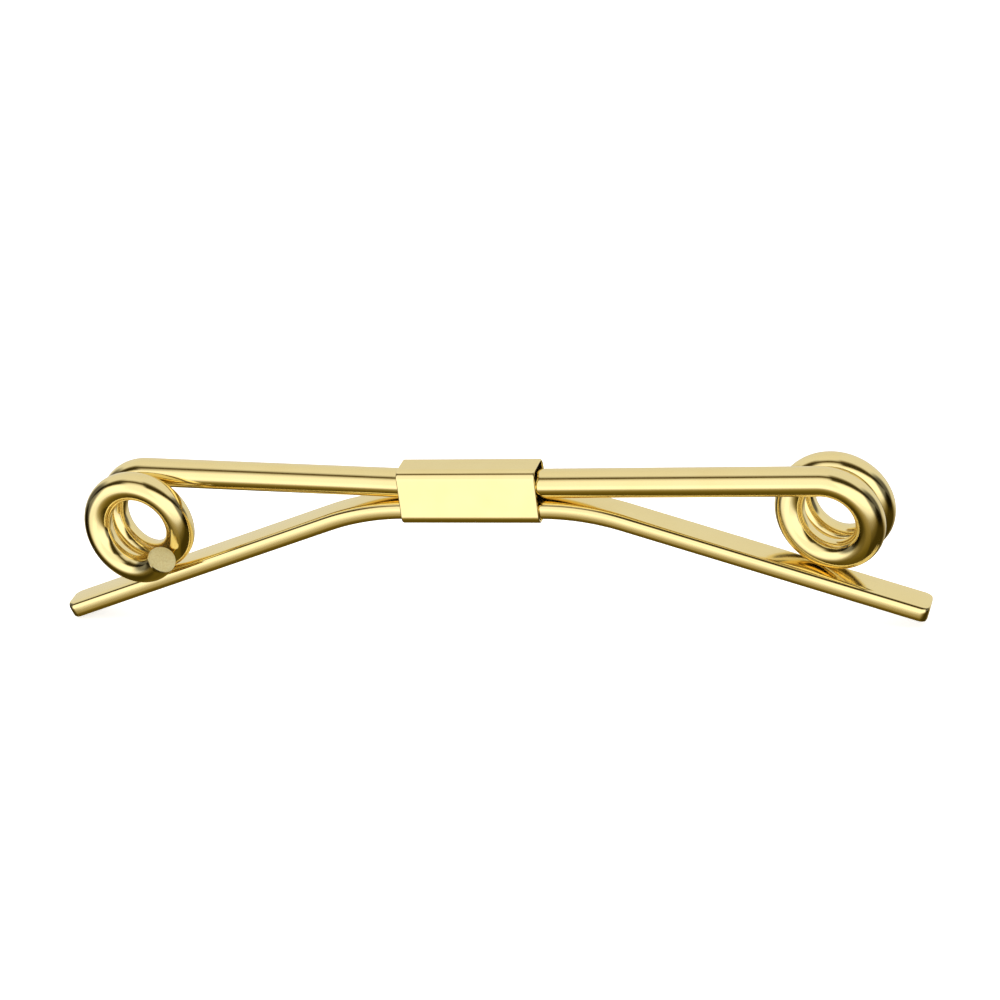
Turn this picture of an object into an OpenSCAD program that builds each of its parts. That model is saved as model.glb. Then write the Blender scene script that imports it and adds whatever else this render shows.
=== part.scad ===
// Collar bar: a spring wire with a coil at each end and a bent flat strip, held together
// by a crimped sleeve. Each strip arm bears on its coil, and a collar leaf is pushed in
// between the two. Millimetres. +X runs along the bar to its right end, +Y away from its
// front, +Z from the strip up to the wire. The origin is on the ground, below the middle
// of the overall length, and the part stands on the tips of the strip.

/* [Overall] */
// Length from strip tip to strip tip
overall_length = 65; // [60:0.5:70]

/* [Spring wire] */
// Diameter of the round wire
wire_d = 2.1; // [1.8:0.05:2.2]
// Mean diameter of each coil, measured to the middle of the wire
coil_d = 6.2; // [5.6:0.1:6.6]
// Turns in the left coil, counted from the top where the arm runs into it
coil_turns_left = 1.65; // [1.4:0.01:1.8]
// Turns in the right coil, whose cut end lies behind its first turn
coil_turns_right = 1.8; // [1.4:0.01:1.85]
// Advance of the coil along its axis in one turn
coil_pitch = 2.25; // [2.25:0.05:2.8]
// Distance from the middle of the sleeve to the top of each coil
coil_x = 25.1; // [24:0.1:26]
// Rise of each wire arm from the sleeve to its coil, in degrees
arm_rise = 1.5; // [0.5:0.1:3]
// How far each arm has drawn to the side by the time it reaches its coil
arm_skew = 0.9; // [0:0.05:1.2]

/* [Strip] */
// Width of the flat strip
strip_w = 2.5; // [2.1:0.1:3]
// Thickness of the strip
strip_t = 1.3; // [0.8:0.05:1.5]
// Radius of the bend at each mouth of the sleeve, to the middle of the thickness
strip_bend_r = 18; // [14:0.5:24]
// How far the strip sits to the left in the sleeve
strip_offset = 0.55; // [0:0.05:2]
// Space between each coil and its strip arm at rest
coil_gap = 0.06; // [0.05:0.01:0.3]
// Size of the cut across each corner of the tips, in plan
tip_cut = 0.6; // [0.1:0.1:0.9]

/* [Sleeve] */
// Length of the crimped sleeve
sleeve_length = 10.2; // [9:0.1:11]
// Thickness of the sleeve's wall
sleeve_wall = 0.2; // [0.2:0.05:0.4]
// Outer corner radius of the sleeve
sleeve_corner_r = 0.65; // [0.45:0.05:0.75]
// Clearance between the sleeve and what it holds
sleeve_clearance = 0.03; // [0.02:0.01:0.1]
// Extra room in the sleeve, above the wire
sleeve_headroom = 0.25; // [0:0.05:0.4]

/* [Hidden] */
$fn = 48;

gold = [0.93, 0.78, 0.42];
gold_shaded = [0.86, 0.70, 0.34];
gold_bright = [0.97, 0.85, 0.52];

wire_r = wire_d / 2;
coil_r = coil_d / 2;
mouth_x = sleeve_length / 2;

// Heights are counted from the middle of the wire in the sleeve. placed() then lifts the
// whole part, so that the lower strip tip stands on the ground.
strip_z = -wire_r - strip_t / 2;
wire_bend_x = mouth_x - 2;

// Each coil is a helix whose wire leaves the arm without a kink, so its axis is turned in
// plan by its own lead angle and by the angle at which the arm draws to the side.
coil_yaw = atan(coil_pitch / (2 * PI * coil_r)) + atan(arm_skew / (coil_x - wire_bend_x));
coil_across = [cos(coil_yaw), -sin(coil_yaw), 0];
coil_axis = [sin(coil_yaw), cos(coil_yaw), 0];

function arm_point(x) = [
    x,
    -arm_skew * (x - wire_bend_x) / (coil_x - wire_bend_x),
    tan(arm_rise) * (x - wire_bend_x)
];
function coil_centre(t) =
    arm_point(coil_x)
    + coil_r * sin(arm_rise) * coil_across
    - [0, 0, coil_r * cos(arm_rise)]
    + coil_pitch * t * coil_axis;
function coil_point(t) =
    coil_centre(t)
    + coil_r * sin(360 * t - arm_rise) * coil_across
    + [0, 0, coil_r * cos(360 * t - arm_rise)];

// The straight arm's upper face is the common tangent of the bend's outer face and of
// the coil's outside, so its angle follows from their radii and centres.
coil_low = coil_centre(0.5);
bend_to_coil_x = coil_low[0] - mouth_x;
bend_to_coil_z = coil_low[2] - (strip_z - strip_bend_r);
bend_to_coil = norm([bend_to_coil_x, bend_to_coil_z]);
tangent_sum = strip_bend_r + strip_t / 2 + coil_r + wire_r + coil_gap;
arm_angle = atan2(bend_to_coil_x, bend_to_coil_z) - acos(tangent_sum / bend_to_coil);

arm_start_x = mouth_x + strip_bend_r * sin(arm_angle);
arm_start_z = strip_z - strip_bend_r * (1 - cos(arm_angle));
reach_right = overall_length / 2 - strip_offset;
reach_left = overall_length / 2 + strip_offset;
function arm_length(reach) = (reach - sin(arm_angle) * strip_t / 2 - arm_start_x) / cos(arm_angle);
function tip_z(reach) =
    arm_start_z - arm_length(reach) * sin(arm_angle) - cos(arm_angle) * strip_t / 2;
ground_z = min(tip_z(reach_left), tip_z(reach_right));

// The sleeve narrows from the strip's width, where the strip lies flat, to the wire's
// width at the top.
sleeve_lean = (strip_w - wire_d) / 2 / (wire_d + sleeve_clearance + sleeve_headroom);
sleeve_inner_h = wire_d + strip_t + 2 * sleeve_clearance + sleeve_headroom;
sleeve_inner_top_w = wire_d + 2 * sleeve_clearance;
sleeve_inner_bottom_w = sleeve_inner_top_w + 2 * sleeve_lean * sleeve_inner_h;
sleeve_h = sleeve_inner_h + 2 * sleeve_wall;
sleeve_z = (wire_r + sleeve_headroom + strip_z - strip_t / 2) / 2;

// Sharp enough to clear the square edges of the strip.
sleeve_inner_r = 2 * sleeve_clearance;

// The strip is parted in the planes of the sleeve's mouths, where its arms flex.
parting_gap = 0.02;

// The wire's path: straight through the sleeve, up along the arm, then round the coil.
wire_sides = 16;
rings_per_turn = 32;
bend_half = 1;
arm_points = [
    [0, 0, 0],
    [wire_bend_x - bend_half, 0, 0],
    arm_point(wire_bend_x + bend_half),
    arm_point(coil_x - 2 * bend_half)
];
function half_points(turns) =
    let (rings = ceil(turns * rings_per_turn))
    concat(arm_points, [for (i = [0 : rings]) coil_point(turns * i / rings)]);

// A half turn about the vertical axis carries the right half onto the left one.
function half_turn(p) = [-p[0], -p[1], p[2]];
right_points = half_points(coil_turns_right);
left_points = half_points(coil_turns_left);
wire_points = concat(
    [for (i = [len(left_points) - 1 : -1 : 1]) half_turn(left_points[i])],
    right_points
);

function unit(v) = v / norm(v);
function tangent(path, i) = unit(path[min(i + 1, len(path) - 1)] - path[max(i - 1, 0)]);
// A ring of points round the path, the first one in the upright plane across it.
function ring(centre, along, radius, sides) =
    let (across = unit(cross([0, 1, 0], along)))
    let (sideways = cross(along, across))
    [for (k = [0 : sides - 1])
        centre + radius * (cos(360 * k / sides) * across + sin(360 * k / sides) * sideways)];

module tube(path, radius, sides) {
    rings = len(path);
    points = [for (i = [0 : rings - 1]) each ring(path[i], tangent(path, i), radius, sides)];
    first_cap = [for (k = [0 : sides - 1]) k];
    last_cap = [for (k = [sides - 1 : -1 : 0]) (rings - 1) * sides + k];
    walls = [for (i = [0 : rings - 2]) for (k = [0 : sides - 1]) let (next = (k + 1) % sides)
        [i * sides + k, (i + 1) * sides + k, (i + 1) * sides + next, i * sides + next]];
    polyhedron(points, concat([first_cap, last_cap], walls), convexity = 6);
}

// A box section with round corners that is narrower at its top, which faces -X.
module tapered_section(top_w, bottom_w, height, corner_r) {
    taper = atan((bottom_w - top_w) / (2 * height));
    centre_z = height / 2 - corner_r;
    middle_y = (top_w + bottom_w) / 4 - corner_r / cos(taper);
    top_y = middle_y - centre_z * tan(taper);
    bottom_y = middle_y + centre_z * tan(taper);
    side_y = corner_r * cos(taper);
    side_z = corner_r * sin(taper);
    polygon([
        [-centre_z - corner_r, top_y],
        [-centre_z - side_z, top_y + side_y],
        [centre_z - side_z, bottom_y + side_y],
        [centre_z + corner_r, bottom_y],
        [centre_z + corner_r, -bottom_y],
        [centre_z - side_z, -bottom_y - side_y],
        [-centre_z - side_z, -top_y - side_y],
        [-centre_z - corner_r, -top_y]
    ]);
    for (side = [-1, 1]) {
        translate([-centre_z, side * top_y])
            circle(r = corner_r);
        translate([centre_z, side * bottom_y])
            circle(r = corner_r);
    }
}

// A strip that runs from the origin along +X.
module straight_strip(length) {
    translate([0, -strip_w / 2, -strip_t / 2])
        cube([length, strip_w, strip_t]);
}

// The bend: the same section turned about an axis along Y, ending at the origin, where
// it runs along +X.
module bent_strip() {
    translate([0, 0, -strip_bend_r])
        rotate([90, 0, 0])
            rotate_extrude(angle = arm_angle, start = 90, $fn = 180)
                translate([strip_bend_r - strip_t / 2, -strip_w / 2])
                    square([strip_t, strip_w]);
}

// A strip whose far end has its corners cut off in plan.
module tipped_strip(length) {
    translate([0, 0, -strip_t / 2])
        linear_extrude(height = strip_t)
            polygon([
                [0, -strip_w / 2],
                [length - tip_cut, -strip_w / 2],
                [length, -strip_w / 2 + tip_cut],
                [length, strip_w / 2 - tip_cut],
                [length - tip_cut, strip_w / 2],
                [0, strip_w / 2]
            ]);
}

// The right arm, from the sleeve's mouth to a tip at the given reach.
module strip_arm(reach) {
    translate([arm_start_x + parting_gap, 0, arm_start_z])
        rotate([0, arm_angle, 0]) {
            bent_strip();
            tipped_strip(arm_length(reach) - parting_gap / cos(arm_angle));
        }
}

module placed() {
    translate([strip_offset, 0, -ground_z])
        children();
}

module sleeve() {
    color(gold_bright)
        placed()
            translate([-mouth_x, 0, sleeve_z])
                rotate([0, 90, 0])
                    linear_extrude(height = sleeve_length)
                        difference() {
                            tapered_section(
                                sleeve_inner_top_w + 2 * sleeve_wall,
                                sleeve_inner_bottom_w + 2 * sleeve_wall,
                                sleeve_h,
                                sleeve_corner_r
                            );
                            tapered_section(
                                sleeve_inner_top_w,
                                sleeve_inner_bottom_w,
                                sleeve_inner_h,
                                sleeve_inner_r
                            );
                        }
}

module spring_wire() {
    color(gold)
        placed()
            tube(wire_points, wire_r, wire_sides);
}

module strip_middle() {
    color(gold_shaded)
        placed()
            translate([-mouth_x, 0, strip_z])
                straight_strip(sleeve_length);
}

module strip_arm_left() {
    color(gold_shaded)
        placed()
            mirror([1, 0, 0])
                strip_arm(reach_left);
}

module strip_arm_right() {
    color(gold_shaded)
        placed()
            strip_arm(reach_right);
}

sleeve();
spring_wire();
strip_middle();
strip_arm_left();
strip_arm_right();
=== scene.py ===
"""Looks of the collar bar: a coiled spring wire, a bent flat strip and the crimped sleeve
that holds them. Everything is in metres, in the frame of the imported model: +X along the
bar, +Y away from its front, +Z up, the ground at z = 0."""
from math import acos, atan, atan2, ceil, cos, pi, radians, sin, sqrt, tan

import bpy
from mathutils import Matrix, Vector, noise


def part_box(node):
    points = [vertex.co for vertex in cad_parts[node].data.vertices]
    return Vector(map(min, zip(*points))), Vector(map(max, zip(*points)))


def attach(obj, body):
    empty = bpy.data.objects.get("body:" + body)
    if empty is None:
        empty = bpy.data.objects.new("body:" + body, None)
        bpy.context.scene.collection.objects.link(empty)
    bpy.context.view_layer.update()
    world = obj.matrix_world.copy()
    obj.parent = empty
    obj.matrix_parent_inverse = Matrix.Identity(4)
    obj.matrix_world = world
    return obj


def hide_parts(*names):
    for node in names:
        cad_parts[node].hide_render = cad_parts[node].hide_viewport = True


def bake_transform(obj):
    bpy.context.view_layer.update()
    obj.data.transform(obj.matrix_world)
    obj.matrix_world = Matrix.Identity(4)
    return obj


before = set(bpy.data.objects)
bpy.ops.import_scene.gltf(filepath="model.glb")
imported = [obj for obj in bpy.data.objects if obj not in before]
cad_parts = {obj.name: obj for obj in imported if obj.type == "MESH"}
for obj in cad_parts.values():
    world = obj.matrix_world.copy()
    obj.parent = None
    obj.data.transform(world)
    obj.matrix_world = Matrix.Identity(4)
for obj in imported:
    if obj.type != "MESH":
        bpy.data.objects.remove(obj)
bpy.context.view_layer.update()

MM = 0.001

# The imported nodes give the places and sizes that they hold.
sleeve_low, sleeve_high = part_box("sleeve")
middle_low, middle_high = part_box("strip_middle")
left_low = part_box("strip_arm_left")[0]
right_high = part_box("strip_arm_right")[1]

CENTRE_X = (sleeve_low.x + sleeve_high.x) / 2
MOUTH = (sleeve_high.x - sleeve_low.x) / 2
STRIP_T = middle_high.z - middle_low.z
STRIP_W = middle_high.y - middle_low.y
STRIP_Z = (middle_low.z + middle_high.z) / 2
REACH_RIGHT = right_high.x - CENTRE_X
REACH_LEFT = CENTRE_X - left_low.x

# The rest repeats the driving dimensions of the wire, the bend and the sleeve.
WIRE_R = 1.05 * MM
COIL_R = 3.1 * MM
COIL_TURNS_LEFT = 1.65
COIL_TURNS_RIGHT = 1.8
COIL_PITCH = 2.25 * MM
COIL_X = 25.1 * MM
ARM_RISE = radians(1.5)
ARM_SKEW = 0.9 * MM
WIRE_Z = STRIP_Z + STRIP_T / 2 + WIRE_R
WIRE_BEND_X = MOUTH - 2 * MM
BEND_HALF = 1 * MM
STRIP_BEND_R = 18 * MM
COIL_GAP = 0.06 * MM
SLEEVE_WALL = 0.2 * MM
SLEEVE_CORNER_R = 0.65 * MM
SLEEVE_CLEARANCE = 0.03 * MM
SLEEVE_HEADROOM = 0.25 * MM

# Each coil's axis is turned in plan by its lead angle and by the arm's drift to the side.
COIL_YAW = atan(COIL_PITCH / (2 * pi * COIL_R)) + atan(ARM_SKEW / (COIL_X - WIRE_BEND_X))
COIL_ACROSS = Vector((cos(COIL_YAW), -sin(COIL_YAW), 0))
COIL_AXIS = Vector((sin(COIL_YAW), cos(COIL_YAW), 0))
UP = Vector((0, 0, 1))


def arm_point(x):
    """A point on the wire's sloping arm, beyond its bend inside the sleeve."""
    run = x - WIRE_BEND_X
    return Vector((x, -ARM_SKEW * run / (COIL_X - WIRE_BEND_X), tan(ARM_RISE) * run))


def coil_centre(t):
    """The middle of the coil where it has made t turns, from the wire's place in the
    middle of the sleeve."""
    top = arm_point(COIL_X) + COIL_PITCH * t * COIL_AXIS
    return top + COIL_R * sin(ARM_RISE) * COIL_ACROSS - COIL_R * cos(ARM_RISE) * UP


def coil_point(t):
    """The wire's place on the coil after t turns."""
    angle = 2 * pi * t - ARM_RISE
    return coil_centre(t) + COIL_R * (sin(angle) * COIL_ACROSS + cos(angle) * UP)


# The straight arm of the strip lies on the common tangent of its bend and of the coil.
coil_low = coil_centre(0.5)
to_coil_x = coil_low.x - MOUTH
to_coil_z = coil_low.z + WIRE_Z - (STRIP_Z - STRIP_BEND_R)
tangent_sum = STRIP_BEND_R + STRIP_T / 2 + COIL_R + WIRE_R + COIL_GAP
ARM_ANGLE = atan2(to_coil_x, to_coil_z) - acos(tangent_sum / sqrt(to_coil_x**2 + to_coil_z**2))


# ---------------------------------------------------------------- meshes

def new_object(name, vertices, faces, materials, face_slots=()):
    """A smooth-shaded mesh object. Its faces keep the corner order that they are given."""
    mesh = bpy.data.meshes.new(name)
    mesh.from_pydata([tuple(v) for v in vertices], [], faces)
    mesh.validate()
    for material in materials:
        mesh.materials.append(material)
    for polygon in mesh.polygons:
        polygon.use_smooth = True
    for polygon, index in zip(mesh.polygons, face_slots):
        polygon.material_index = index
    mesh.update()
    obj = bpy.data.objects.new(name, mesh)
    bpy.context.scene.collection.objects.link(obj)
    return obj


def add_coordinates(obj, name, values):
    """Stores one vector per vertex, for the materials to read."""
    attribute = obj.data.attributes.new(name, "FLOAT_VECTOR", "POINT")
    attribute.data.foreach_set("vector", [c for v in values for c in v])


def ring_walls(ring_count, sides):
    """Quads between neighbouring rings of a closed tube."""
    faces = []
    for i in range(ring_count - 1):
        for k in range(sides):
            here, after = i * sides + k, i * sides + (k + 1) % sides
            faces.append((here, after, after + sides, here + sides))
    return faces


def arc(centre, radius, start, turn, steps):
    """Points (a, b) of a flat arc round a centre, from the angle start through turn."""
    points = []
    for i in range(steps + 1):
        angle = start + turn * i / steps
        points.append((centre[0] + radius * cos(angle), centre[1] + radius * sin(angle)))
    return points


def even_steps(first, last, count):
    """Evenly spaced numbers from first to last, without first itself."""
    return [first + (last - first) * i / count for i in range(1, count + 1)]


# ---------------------------------------------------------------- spring wire

WIRE_SIDES = 48
WIRE_ANGLES = [2 * pi * k / WIRE_SIDES for k in range(WIRE_SIDES)]
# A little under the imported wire's radius, so that the finish stays inside its box.
FINISH_R = WIRE_R - 0.003 * MM
RINGS_PER_TURN = 96
ARM_STEP = 0.8 * MM
ARM_BEND_STEPS = 8
# The cut ends: how far the face leans, how high its burr and its bumps stand, how close
# the bumps lie, and the rings of the face as shares of the wire's radius.
CUT_SLANT = 0.25
CUT_BURR = 0.03 * MM
CUT_BUMPS = 4 / MM
CUT_RINGS = (0.97, 0.9, 0.75, 0.55, 0.35, 0.15)


def quadratic(a, b, c, steps):
    """Points on the curve from a to c that b pulls, without its first point."""
    points = []
    for i in range(1, steps + 1):
        t = i / steps
        points.append(a * (1 - t) ** 2 + b * 2 * t * (1 - t) + c * t**2)
    return points


def half_wire(turns):
    """From the middle of the sleeve to the cut end of the right coil."""
    bend_start = Vector((WIRE_BEND_X - BEND_HALF, 0, 0))
    bend_end = arm_point(WIRE_BEND_X + BEND_HALF)
    points = [Vector((0, 0, 0)), bend_start]
    points += quadratic(bend_start, arm_point(WIRE_BEND_X), bend_end, ARM_BEND_STEPS)
    steps = ceil((COIL_X - bend_end.x) / ARM_STEP)
    points += [bend_end.lerp(arm_point(COIL_X), i / steps) for i in range(1, steps + 1)]
    rings = ceil(turns * RINGS_PER_TURN)
    return points + [coil_point(turns * i / rings) for i in range(1, rings + 1)]


def half_turn(point):
    """Carries the right half of the wire onto the left one."""
    return Vector((-point.x, -point.y, point.z))


def tangent(points, i):
    """The direction of a path at its point i."""
    return (points[min(i + 1, len(points) - 1)] - points[max(i - 1, 0)]).normalized()


def wire_ring(centre, along):
    """The points round the wire at one place on its path."""
    across = Vector((0, 1, 0)).cross(along).normalized()
    sideways = along.cross(across)
    return [centre + FINISH_R * (cos(a) * across + sin(a) * sideways) for a in WIRE_ANGLES]


def slanted(ring, centre, outwards, end):
    """Moves an end's ring back along the wire, onto a slanted cut. The end is 1 at the
    right coil and -1 at the left one."""
    moved = []
    for vertex in ring:
        lean = (vertex - centre).y * end
        moved.append(vertex - outwards * CUT_SLANT * (lean + WIRE_R))
    return moved


def cut_face(vertices, faces, rim_start, outwards, end):
    """Closes an end of the tube with a burred, slightly torn face."""
    rim = vertices[rim_start:rim_start + WIRE_SIDES]
    middle = sum(rim, Vector()) / WIRE_SIDES
    previous = rim_start
    for share in CUT_RINGS:
        start = len(vertices)
        burr = CUT_BURR * (1 - sqrt(1 - share))
        for point in rim:
            inner = middle + (point - middle) * share
            torn = noise.noise(inner * CUT_BUMPS) * CUT_BURR
            vertices.append(inner + outwards * (torn + burr))
        for k in range(WIRE_SIDES):
            after = (k + 1) % WIRE_SIDES
            quad = (previous + k, previous + after, start + after, start + k)
            faces.append(quad[::end])
        previous = start
    tip = len(vertices)
    vertices.append(middle + outwards * noise.noise(middle * CUT_BUMPS) * CUT_BURR)
    for k in range(WIRE_SIDES):
        triangle = (previous + k, previous + (k + 1) % WIRE_SIDES, tip)
        faces.append(triangle[::end])


def build_wire(polished, cut):
    left = half_wire(COIL_TURNS_LEFT)
    points = [half_turn(p) for p in reversed(left[1:])] + half_wire(COIL_TURNS_RIGHT)
    vertices = []
    drawn = []
    length = 0.0
    for i, point in enumerate(points):
        vertices += wire_ring(point, tangent(points, i))
        length += (point - points[max(i - 1, 0)]).length
        drawn += [(WIRE_R * cos(angle), WIRE_R * sin(angle), length) for angle in WIRE_ANGLES]
    last = len(points) - 1
    left_out = -tangent(points, 0)
    right_out = tangent(points, last)
    vertices[:WIRE_SIDES] = slanted(vertices[:WIRE_SIDES], points[0], left_out, -1)
    vertices[-WIRE_SIDES:] = slanted(vertices[-WIRE_SIDES:], points[last], right_out, 1)
    faces = ring_walls(len(points), WIRE_SIDES)
    polished_count = len(faces)
    cut_face(vertices, faces, 0, left_out, -1)
    cut_face(vertices, faces, last * WIRE_SIDES, right_out, 1)
    slots = [0] * polished_count + [1] * (len(faces) - polished_count)
    drawn += vertices[len(drawn):]
    place = Vector((CENTRE_X, 0, WIRE_Z))
    vertices = [v + place for v in vertices]
    wire = new_object("wire_finish", vertices, faces, [polished, cut], slots)
    add_coordinates(wire, "drawn", drawn)
    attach(wire, "bar")
    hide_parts("spring_wire")


# ---------------------------------------------------------------- strip

STRIP_EDGE_R = 0.45 * MM
TIP_CORNER_R = 0.6 * MM
TIP_EDGE_R = 0.16 * MM
# Where the tip's last edges round off, the section's own corners are a little sharper and
# its sides come in a little faster than its faces.
TIP_SECTION_R = 0.9 * STRIP_EDGE_R
TIP_SIDE_SHARE = 1.2
EDGE_STEPS = 6
CORNER_STEPS = 10
FLAT_STEPS = 8
BEND_STEPS = 40
STRIP_STEP = 0.5 * MM
SEAM_GAP = 0.01 * MM

# Distances along the right half of the strip and places of its middle line: it is flat
# as far as the mouth, bends through the arm's angle and runs straight to the tip.
BEND_END = MOUTH + STRIP_BEND_R * ARM_ANGLE
BEND_END_X = MOUTH + STRIP_BEND_R * sin(ARM_ANGLE)
BEND_DROP = STRIP_BEND_R * (1 - cos(ARM_ANGLE))


def rounded_section(thickness, width, corner_r):
    """(sideways, up) points round a rectangle with round corners."""
    points = []
    for corner, (side_up, side_out) in enumerate([(1, 1), (-1, 1), (-1, -1), (1, -1)]):
        centre = (side_out * (width / 2 - corner_r), side_up * (thickness / 2 - corner_r))
        points += arc(centre, corner_r, pi / 2 * (1 - corner), -pi / 2, EDGE_STEPS)
    return points


def strip_place(distance):
    """(x, z, slope) at a distance along the right half of the strip."""
    if distance <= MOUTH:
        return distance, 0.0, 0.0
    if distance <= BEND_END:
        turned = (distance - MOUTH) / STRIP_BEND_R
        return MOUTH + STRIP_BEND_R * sin(turned), -STRIP_BEND_R * (1 - cos(turned)), turned
    rest = distance - BEND_END
    return BEND_END_X + rest * cos(ARM_ANGLE), -BEND_DROP - rest * sin(ARM_ANGLE), ARM_ANGLE


def tip_rings(tip_start):
    """The rings that round off the tip, first at its corners in plan and then at its last
    edges too. A ring is (distance, width, thickness, corner radius)."""
    inner_r = TIP_CORNER_R - TIP_EDGE_R
    angles = even_steps(0, pi / 2, CORNER_STEPS)
    rings = []
    for angle in angles:
        ahead = TIP_CORNER_R * sin(angle)
        if ahead <= inner_r:
            width = STRIP_W - 2 * TIP_CORNER_R * (1 - cos(angle))
            rings.append((tip_start + ahead, width, STRIP_T, STRIP_EDGE_R))
    last_width = rings[-1][1]
    for angle in angles:
        ahead = inner_r + TIP_EDGE_R * sin(angle)
        inset = TIP_EDGE_R * (1 - cos(angle))
        aside = sqrt(max(1 - (ahead / TIP_CORNER_R) ** 2, 0))
        width = min(STRIP_W - 2 * TIP_CORNER_R * (1 - aside), last_width)
        width -= TIP_SIDE_SHARE * inset
        rings.append((tip_start + ahead, width, STRIP_T - 2 * inset, TIP_SECTION_R))
    return rings


def strip_half(name, reach, side, material):
    """One half of the strip, from the middle of the sleeve to its tip."""
    straight = (reach - sin(ARM_ANGLE) * STRIP_T / 2 - BEND_END_X) / cos(ARM_ANGLE)
    tip_start = BEND_END + straight - TIP_CORNER_R
    stations = [SEAM_GAP / 2] + even_steps(SEAM_GAP / 2, MOUTH, FLAT_STEPS)
    stations += even_steps(MOUTH, BEND_END, BEND_STEPS)
    stations += even_steps(BEND_END, tip_start, ceil((tip_start - BEND_END) / STRIP_STEP))
    rings = [(distance, STRIP_W, STRIP_T, STRIP_EDGE_R) for distance in stations]
    rings += tip_rings(tip_start)
    vertices = []
    drawn = []
    for distance, width, thickness, corner_r in rings:
        x, z, slope = strip_place(distance)
        for across, up in rounded_section(thickness, width, corner_r):
            vertices.append(Vector((
                CENTRE_X + side * (x + up * sin(slope)),
                across,
                STRIP_Z + z + up * cos(slope),
            )))
            drawn.append((distance * side, across, up))
    sides = 4 * (EDGE_STEPS + 1)
    faces = ring_walls(len(rings), sides)
    faces.append(tuple(range(sides))[::-1])
    faces.append(tuple(range(len(vertices) - sides, len(vertices))))
    # Mirroring turns the left half's faces over, so only the right half's are reversed.
    if side > 0:
        faces = [face[::-1] for face in faces]
    strip = new_object(name, vertices, faces, [material])
    add_coordinates(strip, "drawn", drawn)
    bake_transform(strip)
    return strip


def build_strip(material):
    left = strip_half("strip_left_finish", REACH_LEFT, -1, material)
    right = strip_half("strip_right_finish", REACH_RIGHT, 1, material)
    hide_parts("strip_arm_left", "strip_middle")
    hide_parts("strip_arm_right")


# ---------------------------------------------------------------- sleeve

SEAM_HALF = 0.02 * MM
LIP_R = 0.09 * MM
SLEEVE_LEAST_R = 0.12 * MM
SLEEVE_ARC_STEPS = 12
SLEEVE_LIP_STEPS = 6
# Points this far off the ends of an arc keep the flat faces beside it flat.
FLAT_MARGIN = 0.05 * MM

# The sleeve narrows upwards: its inside clears the strip below and the wire above.
SLEEVE_HEIGHT = sleeve_high.z - sleeve_low.z
SLEEVE_INNER_LEAN = (STRIP_W / 2 - WIRE_R) / (2 * WIRE_R + SLEEVE_CLEARANCE + SLEEVE_HEADROOM)
SLEEVE_SPREAD = SLEEVE_INNER_LEAN * (SLEEVE_HEIGHT - 2 * SLEEVE_WALL)
SLEEVE_MIDDLE_Y = WIRE_R + SLEEVE_CLEARANCE + SLEEVE_WALL + SLEEVE_SPREAD / 2
SLEEVE_TAPER = atan(SLEEVE_SPREAD / SLEEVE_HEIGHT)


def sleeve_outline(depth):
    """(y, z) points of the folded sheet at a depth below its outside, from one lip of the
    seam in its back, round the sleeve, to the other lip."""
    radius = max(SLEEVE_CORNER_R - depth, SLEEVE_LEAST_R)
    centre_z = SLEEVE_HEIGHT / 2 - depth - radius
    lip = SEAM_HALF + max(LIP_R - depth, 0)

    def side_y(z):
        return SLEEVE_MIDDLE_Y - z * tan(SLEEVE_TAPER) - depth / cos(SLEEVE_TAPER)

    points = [(side_y(lip), lip)]
    narrow, wide = pi / 2 - SLEEVE_TAPER, pi / 2 + SLEEVE_TAPER
    for y_sign, z_sign, start, turn in (
        (1, 1, SLEEVE_TAPER, narrow),
        (-1, 1, pi / 2, narrow),
        (-1, -1, pi - SLEEVE_TAPER, wide),
        (1, -1, 3 * pi / 2, wide),
    ):
        centre_y = y_sign * (side_y(z_sign * centre_z) - radius / cos(SLEEVE_TAPER))
        corner = arc((centre_y, z_sign * centre_z), radius, start, turn, SLEEVE_ARC_STEPS)
        end = start + turn
        before = (corner[0][0] + FLAT_MARGIN * sin(start), corner[0][1] - FLAT_MARGIN * cos(start))
        after = (corner[-1][0] - FLAT_MARGIN * sin(end), corner[-1][1] + FLAT_MARGIN * cos(end))
        points += [before] + corner + [after]
    points.append((side_y(-lip), -lip))
    return points


def wall_section():
    """A closed loop of (x, depth) round the sheet's lengthwise section: over the near rim,
    along the outside, over the far mouth's rim and back along the inside."""
    near, far = LIP_R, 2 * MOUTH - LIP_R
    shallow, deep = LIP_R, SLEEVE_WALL - LIP_R
    outside = [(near + FLAT_MARGIN, 0), (far - FLAT_MARGIN, 0)]
    inside = [(far - FLAT_MARGIN, SLEEVE_WALL), (near + FLAT_MARGIN, SLEEVE_WALL)]
    loop = arc((near, shallow), LIP_R, pi, pi / 2, SLEEVE_LIP_STEPS) + outside
    loop += arc((far, shallow), LIP_R, 3 * pi / 2, pi / 2, SLEEVE_LIP_STEPS)
    loop += arc((far, deep), LIP_R, 0, pi / 2, SLEEVE_LIP_STEPS) + inside
    loop += arc((near, deep), LIP_R, pi / 2, pi / 2, SLEEVE_LIP_STEPS)
    return loop


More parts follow.
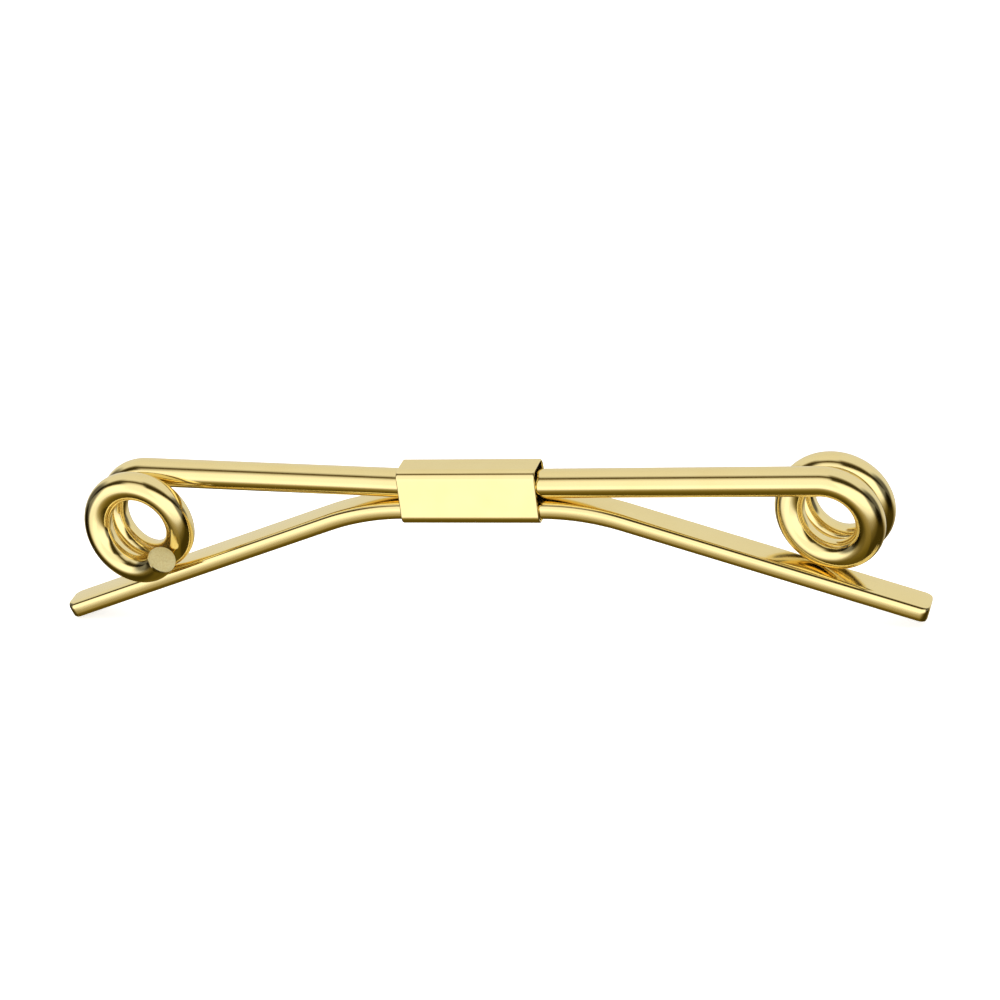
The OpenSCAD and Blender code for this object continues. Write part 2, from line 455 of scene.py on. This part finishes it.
def build_sleeve(material):
    """The folded sheet. The corner order of its faces turns them inwards."""
    centre_z = (sleeve_low.z + sleeve_high.z) / 2
    section = wall_section()
    vertices = []
    drawn = []
    for x, depth in section:
        for y, z in sleeve_outline(depth):
            vertices.append(Vector((CENTRE_X - MOUTH + x, y, centre_z + z)))
            drawn.append((x, y, z))
    total = len(section)
    count = len(vertices) // total
    faces = []
    for i in range(total):
        here, after = i * count, (i + 1) % total * count
        for k in range(count - 1):
            faces.append((here + k, after + k, after + k + 1, here + k + 1))
    first_lip = tuple(range(0, total * count, count))
    faces.append(first_lip[::-1])
    faces.append(tuple(corner + count - 1 for corner in first_lip))
    sleeve = new_object("sleeve_finish", vertices, faces, [material])
    add_coordinates(sleeve, "drawn", drawn)
    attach(sleeve, "bar")
    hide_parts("sleeve")


# ---------------------------------------------------------------- materials

GOLD = (0.98, 0.82, 0.405, 1)
GOLD_DEEP = (0.95, 0.765, 0.345, 1)
CUT_LIGHT = (0.98, 0.88, 0.5, 1)
CUT_DARK = (0.88, 0.75, 0.36, 1)

# How fine each pattern is, per metre, on each axis where it differs along the metal.
EVEN = (1, 1, 1)
HAZE_SCALE = 420
RIPPLE_SCALE = 900
GRAIN_SCALE = 9000
TEAR_SCALE = (3000, 3000, 12000)
WIRE_MARKS = (9000, 9000, 500)
STRIP_MARKS = (350, 7000, 7000)
SLEEVE_MARKS = (400, 6000, 6000)

# How deep each pattern goes.
RIPPLE_DEPTH = 0.0012 * MM
GRAIN_DEPTH = 0.006 * MM
TEAR_DEPTH = 0.015 * MM


class Nodes:
    """The node tree of a material or a world, with short calls to add and join nodes."""

    def __init__(self, owner, shader):
        self.owner = owner
        owner.use_nodes = True
        self.tree = owner.node_tree
        self.shader = self.tree.nodes[shader]

    def add(self, kind, **settings):
        node = self.tree.nodes.new(kind)
        for key, value in settings.items():
            setattr(node, key, value)
        return node

    def join(self, source, target):
        self.tree.links.new(source, target)

    def feed(self, value, target):
        """Joins another node's output to a socket, or sets it to a plain value."""
        if isinstance(value, bpy.types.NodeSocket):
            self.join(value, target)
        else:
            target.default_value = value

    def drawn(self, scale):
        """The piece's own straightened coordinates, times a scale on each axis."""
        attribute = self.add("ShaderNodeAttribute", attribute_name="drawn")
        mapping = self.add("ShaderNodeMapping")
        mapping.inputs["Scale"].default_value = scale
        self.join(attribute.outputs["Vector"], mapping.inputs["Vector"])
        return mapping.outputs["Vector"]

    def noise(self, vector, scale, detail):
        node = self.add("ShaderNodeTexNoise")
        node.inputs["Scale"].default_value = scale
        node.inputs["Detail"].default_value = detail
        self.join(vector, node.inputs["Vector"])
        return node.outputs["Fac"]

    def remap(self, value, low, high, to_low, to_high, curve="LINEAR"):
        node = self.add("ShaderNodeMapRange", interpolation_type=curve)
        for socket, number in zip(node.inputs[1:5], (low, high, to_low, to_high)):
            socket.default_value = number
        self.join(value, node.inputs[0])
        return node.outputs[0]

    def maths(self, operation, *values):
        node = self.add("ShaderNodeMath", operation=operation)
        for socket, value in zip(node.inputs, values):
            self.feed(value, socket)
        return node.outputs[0]

    def mix_colour(self, factor, first, second):
        node = self.add("ShaderNodeMix", data_type="RGBA")
        self.join(factor, node.inputs[0])
        self.feed(first, node.inputs[6])
        self.feed(second, node.inputs[7])
        return node.outputs[2]

    def bump(self, height, distance, below=None):
        node = self.add("ShaderNodeBump")
        node.inputs["Strength"].default_value = 1
        node.inputs["Distance"].default_value = distance
        self.join(height, node.inputs["Height"])
        if below:
            self.join(below, node.inputs["Normal"])
        return node.outputs["Normal"]


def material_nodes(name):
    return Nodes(bpy.data.materials.new(name), "Principled BSDF")


def plated_gold(name, marks_scale, roughness, marks_depth):
    """Polished gold plating: faint marks along the metal, a slight ripple and a soft patchy
    haze that changes its gloss and colour a little."""
    nodes = material_nodes(name)
    haze = nodes.noise(nodes.drawn(EVEN), HAZE_SCALE, 3)
    marks = nodes.noise(nodes.drawn(marks_scale), 1, 5)
    ripple = nodes.noise(nodes.drawn(EVEN), RIPPLE_SCALE, 1)
    colour = nodes.mix_colour(nodes.remap(haze, 0.3, 0.75, 0, 0.45), GOLD, GOLD_DEEP)
    gloss = nodes.remap(haze, 0.3, 0.7, roughness * 0.88, roughness * 1.12)
    nodes.join(colour, nodes.shader.inputs["Base Color"])
    nodes.join(gloss, nodes.shader.inputs["Roughness"])
    fine = nodes.bump(marks, marks_depth)
    nodes.join(nodes.bump(ripple, RIPPLE_DEPTH, fine), nodes.shader.inputs["Normal"])
    nodes.shader.inputs["Metallic"].default_value = 1
    return nodes.owner


def sheared_metal(name):
    """The cut end of the wire: a matte, grainy face with no polish."""
    nodes = material_nodes(name)
    grain = nodes.noise(nodes.drawn(EVEN), GRAIN_SCALE, 6)
    tears = nodes.noise(nodes.drawn(TEAR_SCALE), 1, 4)
    colour = nodes.mix_colour(nodes.remap(grain, 0.35, 0.7, 0, 1), CUT_LIGHT, CUT_DARK)
    nodes.join(colour, nodes.shader.inputs["Base Color"])
    nodes.join(nodes.remap(tears, 0.3, 0.7, 0.42, 0.6), nodes.shader.inputs["Roughness"])
    coarse = nodes.bump(tears, TEAR_DEPTH)
    nodes.join(nodes.bump(grain, GRAIN_DEPTH, coarse), nodes.shader.inputs["Normal"])
    nodes.shader.inputs["Metallic"].default_value = 0.75
    return nodes.owner


# ---------------------------------------------------------------- studio

FLOOR_HALF = 0.6
FLOOR_DARK = (0.86, 0.86, 0.86, 1)
FLOOR_LIGHT = (0.9, 0.9, 0.9, 1)
SPECKLE_SCALE = 900
SOFT_BOX_PLACE = (0, -0.05, 0.45)
AZIMUTH = radians(19.2)
ELEVATION = radians(26.7)
ROLL = radians(8.95)
DISTANCE = 207.8 * MM
LENS = 105.9
AIM = Vector((1.94 * MM, 0, -1.31 * MM))


def build_floor():
    bpy.ops.mesh.primitive_plane_add(size=2 * FLOOR_HALF)
    floor = bpy.context.object
    floor.name = "studio_floor"
    nodes = material_nodes("floor_paper")
    position = nodes.add("ShaderNodeNewGeometry").outputs["Position"]
    speckle = nodes.noise(position, SPECKLE_SCALE, 3)
    colour = nodes.mix_colour(speckle, FLOOR_DARK, FLOOR_LIGHT)
    nodes.join(colour, nodes.shader.inputs["Base Color"])
    nodes.shader.inputs["Roughness"].default_value = 0.9
    nodes.shader.inputs["Specular IOR Level"].default_value = 0.1
    nodes.shader.inputs["Emission Color"].default_value = (1, 1, 1, 1)
    nodes.shader.inputs["Emission Strength"].default_value = 0.7
    floor.data.materials.append(nodes.owner)
    floor.visible_glossy = False


# The light tent round the bar's axis: (degrees up from the front horizon, brightness,
# warmth), ahead of the bar and off to its sides, where the dark gap between the front
# panel and the roof is wider.
TENT_AHEAD = (
    (-180, 0.74, 0), (-160, 0.55, 0.3), (-145, 0.2, 1), (-95, 0.1, 1), (-66, 0.11, 1),
    (-56, 0.14, 1), (-46, 0.2, 0.9), (-38, 0.3, 0.75), (-31, 0.46, 0.5), (-25, 0.9, 0.1),
    (-20, 1.3, 0), (-6, 1.34, 0), (6, 1.12, 0), (38, 1.08, 0), (47, 0.9, 0.05),
    (54, 0.55, 0.3), (59, 0.1, 0.9), (66, 0.08, 0.9), (74, 0.6, 0.15), (82, 0.84, 0.05),
    (120, 0.79, 0.05), (180, 0.74, 0),
)
TENT_ASIDE = (
    (-180, 0.76, 0), (-150, 0.7, 0.1), (-138, 0.3, 0.6), (-124, 0.05, 1), (-60, 0.05, 1),
    (-45, 0.15, 0.9), (-33, 0.4, 0.5), (-22, 1.0, 0), (-5, 1.35, 0), (30, 1.35, 0),
    (40, 0.9, 0.2), (46, 0.05, 1), (68, 0.03, 1), (78, 0.3, 0.5), (88, 0.8, 0),
    (120, 0.8, 0), (180, 0.76, 0),
)
# The share that the warmest light keeps of each of red, green and blue.
WARM = (1.0, 0.72, 0.1)


# How far along the bar a direction points, from 0 straight across it to 1: where the
# tent's sides take over, which is sooner at the right, and where its dim ends begin.
SIDES = (0.35, 0.6)
SIDE_AT_RIGHT = (0.0, 0.12)
ENDS = (0.78, 0.93)
ENDS_LIGHT = 0.15


def tent_ramp(nodes, share, light_stops):
    """The tent's colour by the share of a full turn round the bar's axis."""
    node = nodes.add("ShaderNodeValToRGB")
    stops = node.color_ramp.elements
    stops.remove(stops[-1])
    for i, (degrees, light, warmth) in enumerate(light_stops):
        place = degrees / 360 + 0.5
        stop = stops[0] if i == 0 else stops.new(place)
        stop.position = place
        stop.color = [light * (1 - warmth * (1 - kept)) for kept in WARM] + [1]
    nodes.join(share, node.inputs[0])
    return node.outputs[0]


def build_tent():
    """A light tent of soft panels round the bar's axis, with two dim ends."""
    world = bpy.data.worlds.new("light_tent")
    bpy.context.scene.world = world
    nodes = Nodes(world, "Background")
    axes = nodes.add("ShaderNodeSeparateXYZ")
    nodes.join(nodes.add("ShaderNodeTexCoord").outputs["Generated"], axes.inputs[0])
    front = nodes.maths("MULTIPLY", axes.outputs["Y"], -1)
    angle = nodes.maths("ARCTAN2", axes.outputs["Z"], front)
    share = nodes.maths("ADD", nodes.maths("DIVIDE", angle, 2 * pi), 0.5)
    to_right = axes.outputs["X"]
    aside = nodes.maths("ABSOLUTE", to_right)
    off_ahead = nodes.maths(
        "MAXIMUM",
        nodes.remap(aside, *SIDES, 0, 1, "SMOOTHSTEP"),
        nodes.remap(to_right, *SIDE_AT_RIGHT, 0, 1, "SMOOTHSTEP"),
    )
    ahead = tent_ramp(nodes, share, TENT_AHEAD)
    colour = nodes.mix_colour(off_ahead, ahead, tent_ramp(nodes, share, TENT_ASIDE))
    nodes.join(colour, nodes.shader.inputs["Color"])
    strength = nodes.remap(aside, *ENDS, 1, ENDS_LIGHT, "SMOOTHSTEP")
    nodes.join(strength, nodes.shader.inputs["Strength"])


def build_overhead():
    """A wide soft box overhead lights the floor and lays soft shadows on it."""
    light = bpy.data.lights.new("soft_box", "AREA")
    light.shape = "RECTANGLE"
    light.size = 0.5
    light.size_y = 0.4
    light.energy = 1.1
    box = bpy.data.objects.new("soft_box", light)
    box.location = SOFT_BOX_PLACE
    box.visible_glossy = False
    bpy.context.scene.collection.objects.link(box)


def build_camera():
    right = Vector((cos(AZIMUTH), sin(AZIMUTH), 0))
    forward = Vector((
        -sin(AZIMUTH) * cos(ELEVATION), cos(AZIMUTH) * cos(ELEVATION), -sin(ELEVATION)
    ))
    up = right.cross(forward)
    rolled_right = cos(ROLL) * right - sin(ROLL) * up
    rolled_up = sin(ROLL) * right + cos(ROLL) * up
    target = Vector((CENTRE_X, 0, WIRE_Z)) + AIM
    data = bpy.data.cameras.new("camera")
    data.lens = LENS
    data.sensor_width = 36
    data.clip_start = 0.01
    data.clip_end = 10
    camera = bpy.data.objects.new("camera", data)
    turn = Matrix((rolled_right, rolled_up, -forward)).transposed()
    camera.matrix_world = Matrix.Translation(target - DISTANCE * forward) @ turn.to_4x4()
    bpy.context.scene.collection.objects.link(camera)
    bpy.context.scene.camera = camera


build_wire(plated_gold("wire_gold", WIRE_MARKS, 0.12, 0.0005 * MM), sheared_metal("cut_end"))
build_strip(plated_gold("strip_gold", STRIP_MARKS, 0.13, 0.0006 * MM))
build_sleeve(plated_gold("sleeve_gold", SLEEVE_MARKS, 0.1, 0.0004 * MM))
build_floor()
build_tent()
build_overhead()
build_camera()
bpy.context.scene.view_settings.view_transform = "Standard"
